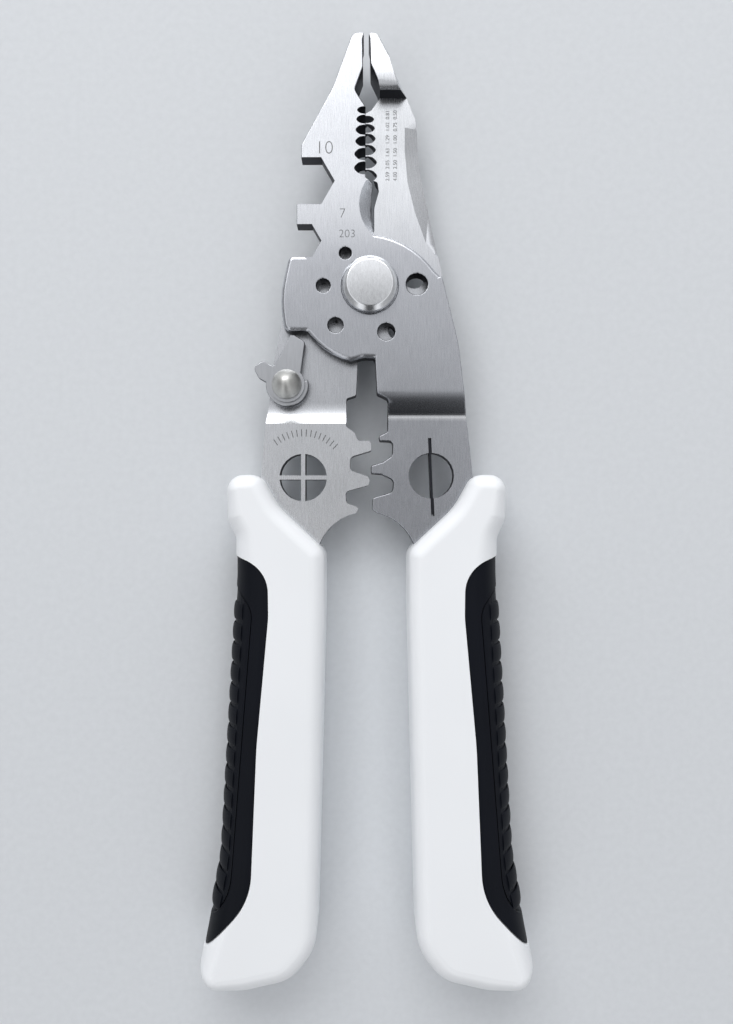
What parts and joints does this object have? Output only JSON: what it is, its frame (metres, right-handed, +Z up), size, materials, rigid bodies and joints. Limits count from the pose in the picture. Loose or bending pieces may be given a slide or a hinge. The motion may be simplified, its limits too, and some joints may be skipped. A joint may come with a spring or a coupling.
{
  "type": "wire stripper crimping tool",
  "caption": "Flat plier-type electrician's tool with stripping notches, wire cutter, bolt shearing holes, crimping teeth, latch and two-part moulded grips.",
  "frame": {"origin": "middle of the underside of the tool's bounding box, with the tool lying flat and closed", "axes": "+Y from the grips to the nose, +Z up through the thickness, +X towards the right grip"},
  "size_m": [0.0714, 0.2032, 0.015],
  "materials": {
    "lever_steel": "satin, finely ground",
    "bright_steel": "turned and polished",
    "spring_steel": "drawn wire, oiled",
    "white_grip": "satin moulded",
    "soft_grip": "soft matt, ribbed insert"
  },
  "bodies": {
    "back_half": {"back_lever": "lever_steel", "left_grip_shell": "white_grip", "left_grip_pad": "soft_grip", "left_grip_insert": "soft_grip", "pivot_bolt": "bright_steel", "pivot_washer": "lever_steel", "pivot_nut": "lever_steel", "torsion_spring": "spring_steel", "latch_rivet": "bright_steel", "latch_washer": "lever_steel"},
    "front_half": {"front_lever": "lever_steel", "right_grip_shell": "white_grip", "right_grip_pad": "soft_grip", "right_grip_insert": "soft_grip", "splitter_blade": "lever_steel"},
    "latch_plate": {"latch": "lever_steel"}
  },
  "joints": [
    {"name": "main_pivot", "type": "hinge", "parent": "back_half", "child": "front_half", "pos_m": [0.0007, 0.04785, 0.0075], "axis": [0, 0, 1], "range_deg": [-0.5, 14], "deforming": ["torsion_spring"]},
    {"name": "latch_swing", "type": "hinge", "parent": "back_half", "child": "latch_plate", "pos_m": [-0.017, 0.02695, 0.0075], "axis": [0, 0, 1], "range_deg": [-2.5, 70]}
  ],
  "couplings": [
    {"joint": "latch_swing", "follows": "main_pivot", "ratio": 5}
  ]
}
